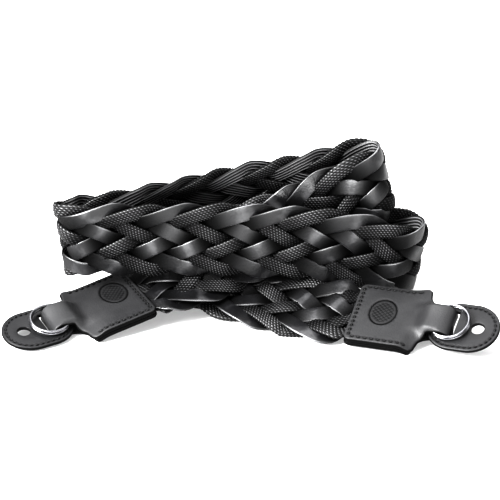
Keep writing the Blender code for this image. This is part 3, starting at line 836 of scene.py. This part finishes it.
class TabSheet:
    """The folded sheet of one tab, laid out flat in (u, y) and placed on its fold."""

    def __init__(self, end):
        self.end = end
        self.path = self.fold_path()
        self.u = walked(self.path)
        self.length = self.u[-1]
        self.out = left_normals(np.gradient(self.path, self.u, axis=0))
        self.outline = self.plan()
        self.seam = self.stitches()

    def fold_path(self):
        """Outer side of the fold in the side view, from the upper mouth to the lower one."""
        top = TAB_FLOOR + TAB_THICKNESS
        tilt = math.sin(math.radians(abs(self.end["ring_tilt"])))
        crest = ring_lift(self.end) + RING_WIRE + NECK_WIDTH / 2 * tilt + GAP + LEATHER
        front = 1.2 * LEATHER
        corners = [(MOUTH, top)] + [(x * RING_DIAMETER, top + rise * (crest - top)) for x, rise in HUMP]
        corners += [(0.35 * front, crest * 0.52), (front, crest * 0.12), (front, TAB_FLOOR + LEATHER)]
        corners += [(front - 0.4 * LEATHER, TAB_FLOOR + 0.3 * LEATHER), (front - LEATHER, TAB_FLOOR)]
        line = even(np.array(corners + [(MOUTH, TAB_FLOOR)]), FOLD_SAMPLES)
        reach = FOLD_SMOOTHING
        weights = np.exp(-0.5 * (np.arange(-reach, reach + 1) / (reach / 2.2)) ** 2)
        weights /= weights.sum()
        before, after = 2 * line[:1] - line[reach:0:-1], 2 * line[-1:] - line[-2:-reach - 2:-1]
        padded = np.concatenate([before, line, after])
        return np.stack([np.convolve(track, weights, mode="valid") for track in padded.T], axis=-1)

    def plan(self):
        """Outline of one long side in the flat: u and half width."""
        half, neck = TAB_WIDTH / 2, NECK_WIDTH / 2
        shoulder = (half - neck) * 0.62
        centre = (-NECK_LENGTH + shoulder * 1.05, neck + shoulder * 1.02)
        rounding = 1.3 * TAB_CORNER
        corner = [(MOUTH + rounding * (1 - math.cos(a)), half - rounding * (1 - math.sin(a)))
                  for a in np.radians(np.linspace(0, 90, 9))]
        bend = [(-NECK_LENGTH - x * TAB_LENGTH, half - y * TAB_WIDTH)
                for x, y in ((0.07, 0), (0.03, 0.010), (0, 0.05))]
        hollow = [(centre[0] + shoulder * math.cos(a), centre[1] + shoulder * math.sin(a))
                  for a in np.radians(np.linspace(192, 270, 16))]
        plan = np.array(corner + bend + hollow + [(RING_WIRE * 3, neck)])
        return np.concatenate([self.half_turn(plan, 1), self.half_turn(plan, -1)[::-1]])

    def half_turn(self, plan, way):
        """The plan's outline walked along the upper or the lower layer."""
        turn = int(np.argmax(self.path[:, 0]))
        part = slice(0, turn + 1) if way > 0 else slice(turn, None)
        xs, us = self.path[part, 0][::way], self.u[part][::way]
        xs = np.maximum.accumulate(xs)
        steps = np.arange(8 * (len(plan) - 1) + 1) / 8
        fine, half = (np.interp(steps, np.arange(len(plan)), track) for track in plan.T)
        keep = fine <= xs[-1]
        return even(np.stack([np.interp(fine[keep], xs, us), half[keep]], axis=-1), 110 if way > 0 else 90)

    def normals(self):
        """Outward normals of the outline in the flat."""
        normal = left_normals(np.gradient(self.outline, axis=0))
        normal[0], normal[-1] = (-1, 0), (1, 0)
        return normal

    def place(self, u, y, depth):
        """World points of the sheet."""
        x, z, out_x, out_z = (np.interp(u, self.u, track) for track in (*self.path.T, *self.out.T))
        x, z = x - depth * out_x, z - depth * out_z
        local = np.stack([x, y, z, np.ones_like(x)], axis=-1)
        bends = np.stack([np.array(neck_bend(self.end, k)) for k in np.linspace(0, 1, BEND_STEPS + 1)])
        step = smooth_step(BEND_START, BEND_END, x) * BEND_STEPS
        k = np.minimum(step.astype(int), BEND_STEPS - 1)
        part = (step - k)[..., None]
        low, high = (np.einsum("...ij,...j->...i", bends[i], local) for i in (k, k + 1))
        bent = low * (1 - part) + high * part
        return (bent @ np.array(end_matrix(self.end)).T)[..., :3] + SHIFT

    def stitches(self):
        """Places and directions of the stitches of both layers, in the flat."""
        side = TAB_WIDTH / 2 - STITCH_INSET
        line = [(SEAM_START, side), (STITCH_INSET + SEAM_TURN, side), (STITCH_INSET, side - SEAM_TURN)]
        line = np.array(line + [(u, -y) for u, y in reversed(line)])
        at = seam_places(walked(line)[-1], STITCH_SPACING)
        here = line_at(line, at)
        way = line_at(line, at + 1e-4) - here
        way = way / np.hypot(*way.T)[:, None]
        below = np.stack([self.length - here[:, 0], here[:, 1]], axis=-1)
        return np.concatenate([here, below]), np.concatenate([way, way * (-1, 1)])

    def relief(self, u, y):
        """Depth of the outer face: crown, waves, puckers round the stitches and the cuts."""
        body = smooth_step(0.0, 0.004, u) * smooth_step(0.0, 0.004, TAB_LENGTH - u)
        crown = -CROWN_HEIGHT * body * (1 - np.clip(np.abs(y) / (TAB_WIDTH / 2), 0, 1) ** 2)
        start = WAVE_START[self.end["name"]]
        waves = WAVE_DEPTH * body * np.sin(y / 0.0062 + 1.1 * np.sin(u / 0.009) + start)
        neck = NECK_WAVE * smooth_step(TAB_LENGTH, TAB_LENGTH + 0.003, u) * np.cos(y / NECK_WIDTH * 2 * np.pi)
        neck *= smooth_step(0.0, 0.006, self.length - TAB_LENGTH - u)
        depth = crown + waves + neck + self.cuts(u, y)
        for near, along, beside in near_stitches(u, y, self.seam, TAB_SLOT[0]):
            fade = np.exp(-((np.abs(along) - 0.0012) / 0.0004) ** 2 - (beside / 0.0007) ** 2)
            depth[near] -= PUCKER_HEIGHT * fade
        return depth

    def cuts(self, u, y):
        """Depth of the stitch slots and of the debossed oval with its lattice."""
        depth = slots(u, y, self.seam, *TAB_SLOT)
        place = EMBLEM_PLACE[self.end["name"]]
        du, dy = u - place[0], y - place[1]
        q = np.hypot(du / (EMBLEM_LENGTH / 2), dy / (EMBLEM_WIDTH / 2))
        depth += EMBLEM_GROOVE * np.exp(-((q - 0.93) / 0.05) ** 2) + 0.00006 * smooth_down(0.95, 0.88, q)
        lattice = np.maximum(*(np.cos(way * np.pi / LATTICE_PITCH) ** 10 for way in (du + dy, du - dy)))
        return depth + LATTICE_DEPTH * lattice * smooth_down(0.78, 0.70, q)

    def drop(self, u, y):
        """How far the upper layer's sides and shoulders stay down where its middle rises to the neck."""
        rise = np.clip(np.interp(u, self.u, self.path[:, 1]) - self.path[0, 1], 0, None)
        upper = smooth_down(TAB_LENGTH + 0.012, TAB_LENGTH + 0.008, u)
        flank = rise * upper * smooth_step(0.0045, 0.0100, np.abs(y))
        lean = math.tan(math.radians(self.end["ring_tilt"]))
        share = np.clip(rise / (self.path[:, 1].max() - self.path[0, 1]), 0, 1)
        half = NECK_WIDTH / 2
        return flank + share * (half * abs(lean) - np.clip(y, -half, half) * lean) * 0.9

    def place_on(self, u, y, depth):
        """World points over the sheet as it lies."""
        return self.place(u, y, depth + self.drop(u, y))

    def thickness(self, u, y):
        """Thickness of the sheet: full at the sewn edges, thin over the pocket, skived at the mouth."""
        from_mouth = np.minimum(u, self.length - u)
        body = smooth_down(TAB_LENGTH + 0.0005, TAB_LENGTH - 0.0015, from_mouth)
        full = LEATHER + body * (TAB_THICKNESS / 2 - 0.00004 - LEATHER)
        pocket = smooth_down(END_WIDTH / 2 + 0.0004, END_WIDTH / 2, np.abs(y))
        pocket *= smooth_down(POCKET_DEPTH + 0.001, POCKET_DEPTH, from_mouth)
        skive = SKIVE_DEPTH * smooth_down(0.006, 0.0, from_mouth)
        return full + pocket * (LEATHER - skive - full)


def make_tab(name):
    """The folded leather tab."""
    sheet = TabSheet(ENDS_BY_NAME[name])
    outline, normal = sheet.outline, sheet.normals()
    dense = np.linspace(-1, 1, 61) * FINE_REACH / (TAB_WIDTH / 2)
    columns = np.concatenate([np.linspace(-1, dense[0], 21)[:-1], dense, np.linspace(dense[-1], 1, 21)[1:]])
    points, faces, plain = [], [], []

    def add_grid(u, y, depth, flip=False, cut=0.0):
        r, c = u.shape
        i = np.arange(r - 1)[:, None] * c + np.arange(c - 1) + sum(map(len, points))
        quads = np.stack([i, i + 1, i + c + 1, i + c], axis=-1).reshape(-1, 4)
        faces.extend((quads[:, ::-1] if flip else quads).tolist())
        points.append(sheet.place(u, y, depth).reshape(-1, 3))
        # plain is low in the cuts and on the walls, where the leather gets painted shade
        plain.append((1 - np.clip(cut / CUT_DEPTH, 0, 1) + 0 * u).ravel())

    inset, round_share, deep = np.array(EDGE).T
    round_depth = round_share * EDGE_ROUND
    # The walls count as cut, so they get painted shade too
    wall = EDGE_WALL * smooth_step(0.2, 1.0, np.minimum(round_share + deep, 1))

    def depth_of(u, y, k):
        base = sheet.relief(u, y) * (1 - deep[k])
        return base + round_depth[k] + deep[k] * sheet.thickness(u, y) + sheet.drop(u, y)

    us = np.maximum.accumulate(outline[:, :1] - inset * normal[:, :1], axis=0)
    ys = outline[:, 1:] - inset * normal[:, 1:]
    u, y = us[:, :1] + 0 * columns, ys[:, :1] * columns
    add_grid(u, y, depth_of(u, y, 0), flip=True, cut=sheet.cuts(u, y))
    inner_columns = np.linspace(-1, 1, 13)
    u, y = us[:, -1:] + 0 * inner_columns, ys[:, -1:] * inner_columns
    add_grid(u, y, depth_of(u, y, -1))
    for side in (1, -1):
        y = side * ys
        depth = np.stack([depth_of(us[:, k], y[:, k], k) for k in range(len(EDGE))], axis=-1)
        add_grid(us, y, depth, flip=side > 0, cut=wall)
    for (start, half), way in ((outline[0], 1), (outline[-1], -1)):
        u = start + way * inset[:, None] + 0 * columns
        y = half * columns + 0 * inset[:, None]
        depth = np.stack([depth_of(u[k], y[k], k) for k in range(len(EDGE))])
        add_grid(u, y, depth, flip=way < 0, cut=wall[:, None])
    points, plain = np.concatenate(points), np.concatenate(plain)
    made = piece_from("tab_" + name, points, faces, (TAB_LEATHER,), rise=plain)
    weld(made)
    return made, sheet


for side_name in ENDS_BY_NAME:
    tab_piece, tab_sheet = make_tab(side_name)
    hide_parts("end_tab_" + side_name)
    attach(tab_piece, "root")
    thread = thread_piece("tab_stitches_" + side_name, tab_sheet.seam, tab_sheet.place_on, TAB_THREAD)
    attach(thread, "root")


# Split rings

RING_CROSSING = math.radians(28)
CROSSING_PLACE = {"right": math.radians(205), "left": math.radians(150)}


def make_ring(name):
    """Two turns of wire that lie on each other and cross over once."""
    end = ENDS_BY_NAME[name]
    around, sides, turns = 180, 14, 2
    a = np.linspace(0, 2 * np.pi * turns, around * turns + 1)
    half = RING_WIRE / 2
    lift = -half + RING_WIRE * smooth_step(2 * np.pi - RING_CROSSING, 2 * np.pi + RING_CROSSING, a)
    turn = np.linspace(0, 2 * np.pi, sides, endpoint=False)
    spread = RING_RADIUS + half * np.cos(turn)
    angle = (a + CROSSING_PLACE[name])[:, None]
    tilt = Matrix.Rotation(math.radians(end["ring_tilt"]), 4, "X")
    matrix = end_matrix(end) @ Matrix.Translation((0, 0, ring_lift(end))) @ tilt
    z = lift[:, None] + half * 0.98 * np.sin(turn)
    points = to_world(matrix, spread * np.cos(angle), spread * np.sin(angle), z).reshape(-1, 3)
    made = piece_from("ring_" + name, points, tube_faces(len(a), sides), (STEEL,))
    weld(made, 1e-8)
    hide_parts("split_ring_" + name)
    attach(made, "root")


# Protectors

TONGUE_HALF = PROTECTOR_WIDTH / 2
HOLE_PLACE = RING_DIAMETER / 2 + GAP + PROTECTOR_HOLE / 2
TONGUE_STEPS = 264
TONGUE_SEWN = 0.0016
TONGUE_SPACING = 0.0021
HOLE_SPREAD = 0.00030
SLIT_SPREAD = 0.00012
# Rounded edge of the tongue: distance in, and depth under the face
TONGUE_EDGE = (
    (0.0040, 0), (0.0029, 0), (0.0024, 0), (0.0021, 0), (0.0019, 0), (0.0016, 0), (0.0013, 0), (0.0010, 0),
    (0.0007, 0.00001), (0.00045, 0.00005), (0.00022, 0.00014), (0.00006, 0.00030), (0.0, 0.00046),
)


def tongue(inset, count):
    """Outline of the protector, drawn in by an inset, as points and outward normals."""
    tip = HOLE_PLACE + PROTECTOR_TIP - TONGUE_HALF
    heel = tip + PROTECTOR_WIDTH - PROTECTOR_LENGTH
    straight, arc = tip - heel, np.pi * TONGUE_HALF
    d = np.arange(count) / count * (2 * straight + 2 * arc)
    x = heel + np.clip(d, 0, straight) - np.clip(d - straight - arc, 0, straight)
    turned = np.clip(d - straight, 0, arc) + np.clip(d - 2 * straight - arc, 0, arc)
    angle = np.pi / 2 - turned / TONGUE_HALF
    normals = np.stack([np.cos(angle), np.sin(angle)], axis=-1)
    return np.stack([x, 0 * x], axis=-1) + (TONGUE_HALF - inset) * normals, normals


def tongue_seam():
    """Places and directions of the stitches along the tongue's edge."""
    line, normals = tongue(TONGUE_SEWN, 2000)
    at = seam_places(walked(line)[-1], TONGUE_SPACING)
    along = np.stack([normals[:, 1], -normals[:, 0]], axis=-1)
    ways = np.stack([np.interp(at, walked(line), track) for track in along.T], axis=-1)
    return line_at(line, at), ways


def opening_corners():
    """The round hole and the slit: each corner with the way that it opens outwards."""
    angles = np.linspace(0, 2 * np.pi, 48, endpoint=False)
    radius = PROTECTOR_HOLE / 2
    hole = [(HOLE_PLACE + radius * x, radius * y, x, y) for x, y in zip(np.cos(angles), np.sin(angles))]
    ends = {-1: 0.2 * LEATHER - GAP, 1: 1.2 * LEATHER + GAP + SLIT_SPARE}
    half = NECK_WIDTH / 2 + GAP
    slit = [(ends[x], y * half, x * 0.7, y * 0.7) for x, y in ((-1, -1), (1, -1), (1, 1), (-1, 1))]
    return (hole, HOLE_SPREAD), (slit, SLIT_SPREAD)


def bridge(bm, rings, inner=False):
    """Quads between closed rings, facing the other way on the walls of an opening."""
    for a, b in zip(rings, rings[1:]):
        for i in range(len(a)):
            j = (i + 1) % len(a)
            bm.faces.new((a[i], b[i], b[j], a[j]) if inner else (a[i], a[j], b[j], b[i]))


def make_protector(name):
    """The leather tongue under the ring, with its hole, its slit and its sewn edge."""
    matrix = end_matrix(ENDS_BY_NAME[name])
    thick = PROTECTOR_THICKNESS
    seam = tongue_seam()
    bm = bmesh.new()
    layer = bm.verts.layers.float.new("rise")

    def place(x, y, depth):
        return to_world(matrix, x, y, -depth)

    def add_ring(x, y, depth, rise):
        ring = [bm.verts.new(p) for p in place(x, y, depth + 0 * x)]
        for vert, value in zip(ring, rise + 0 * x):
            vert[layer] = value
        return ring

    rings = []
    for side, (inset, fall) in [(1, e) for e in TONGUE_EDGE] + [(-1, e) for e in TONGUE_EDGE[::-1]]:
        x, y = tongue(inset, TONGUE_STEPS)[0].T
        sink = slots(x, y, seam, *TONGUE_SLOT)
        # Painted shade in the stitch slots and on the edge's wall.
        shade = (1 - np.clip(sink / CUT_DEPTH, 0, 1)) * (1 - 0.92 * smooth_step(0.0003, 0.0, inset))
        rings.append(add_ring(x, y, (fall if side > 0 else thick - fall) + side * sink, shade))
    bridge(bm, rings)
    rims = [(rings[0], rings[-1])]
    for corners, spread in opening_corners():
        x, y, out_x, out_y = np.array(corners).T
        rings = []
        for out, depth in ((spread, 0.0), (spread * 0.35, 0.00008), (0.0, 0.00026),
                           (0.0, thick - 0.00026), (spread * 0.35, thick - 0.00008), (spread, thick)):
            # Walls of the hole and the slit take 0.4: a painted shade on them.
            rings.append(add_ring(x + out * out_x, y + out * out_y, depth, 1.0 if out == spread else 0.4))
        bridge(bm, rings, inner=True)
        rims.append((rings[0], rings[-1]))
    for loops in zip(*rims):
        pairs = [pair for loop in loops for pair in zip(loop, loop[1:] + loop[:1])]
        edges = [bm.edges.get(pair) or bm.edges.new(pair) for pair in pairs]
        bmesh.ops.triangle_fill(bm, use_beauty=True, use_dissolve=False, edges=edges)
    bmesh.ops.recalc_face_normals(bm, faces=bm.faces[:])
    mesh = bpy.data.meshes.new("tongue_" + name)
    bm.to_mesh(mesh)
    bm.free()
    mesh.materials.append(TONGUE_LEATHER)
    mesh.shade_smooth()
    made = linked("tongue_" + name, mesh)
    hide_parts("protector_" + name)
    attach(made, "root")
    for label, lay in (("", place), ("below_", lambda x, y, depth: place(x, y, thick - depth))):
        thread_part = thread_piece(f"tongue_stitches_{label}{name}", seam, lay, TONGUE_THREAD)
        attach(thread_part, "root")


for side_name in ENDS_BY_NAME:
    make_ring(side_name)
    make_protector(side_name)


# Table and light

# Name, place, width, height and power
LIGHTS = (
    ("overhead", (0.05, 0.38, 1.05), 1.5, 0.8, 11.0),
    ("above_left", (-0.35, -0.35, 1.0), 0.5, 0.5, 10.0),
    ("front_low", (0.10, -0.85, 0.10), 0.80, 0.20, 5.5),
    ("left_front", (-0.85, -0.50, 0.70), 0.5, 0.5, 54.0),
    ("right", (0.95, -0.25, 0.55), 0.4, 0.5, 2.0),
)
LIGHT_AIM = Vector((0, 0, 0.03))
TABLE_REACH = 6.0
SURROUND = ((0.10, 0.10), (0.95, 1.0))
SURROUND_STRENGTH = 1.1
EXPOSURE = 0.45
GAMMA = 0.62


def make_stage():
    """A pale table top that fills the view."""
    corners = TABLE_REACH * np.array([(-1, -1, 0), (1, -1, 0), (1, 1, 0), (-1, 1, 0)])
    made = piece_from("table_top", corners, [(0, 1, 2, 3)], (floor_material(),))
    made.location = (0, 0, -0.0001)


def make_lights():
    """Five soft area lights, and a surround that is bright above and dim at the sides."""
    for name, place, width, height, power in LIGHTS:
        data = bpy.data.lights.new(name, "AREA")
        data.shape = "RECTANGLE"
        data.size, data.size_y, data.energy = width, height, power
        aimed(name, data, place, LIGHT_AIM)
    world = bpy.data.worlds.new("surround")
    world.use_nodes = True
    tree = world.node_tree
    points, split, ramp = (tree.nodes.new(kind) for kind in
                           ("ShaderNodeTexCoord", "ShaderNodeSeparateXYZ", "ShaderNodeValToRGB"))
    for element, (place, grey) in zip(ramp.color_ramp.elements, SURROUND):
        element.position, element.color = place, (grey, grey, grey, 1.0)
    tree.links.new(points.outputs["Generated"], split.inputs["Vector"])
    tree.links.new(split.outputs["Z"], ramp.inputs["Fac"])
    tree.links.new(ramp.outputs["Color"], tree.nodes["Background"].inputs["Color"])
    tree.nodes["Background"].inputs["Strength"].default_value = SURROUND_STRENGTH
    bpy.context.scene.world = world
    view = bpy.context.scene.view_settings
    view.view_transform, view.exposure, view.gamma = "Standard", EXPOSURE, GAMMA


make_stage()
make_lights()
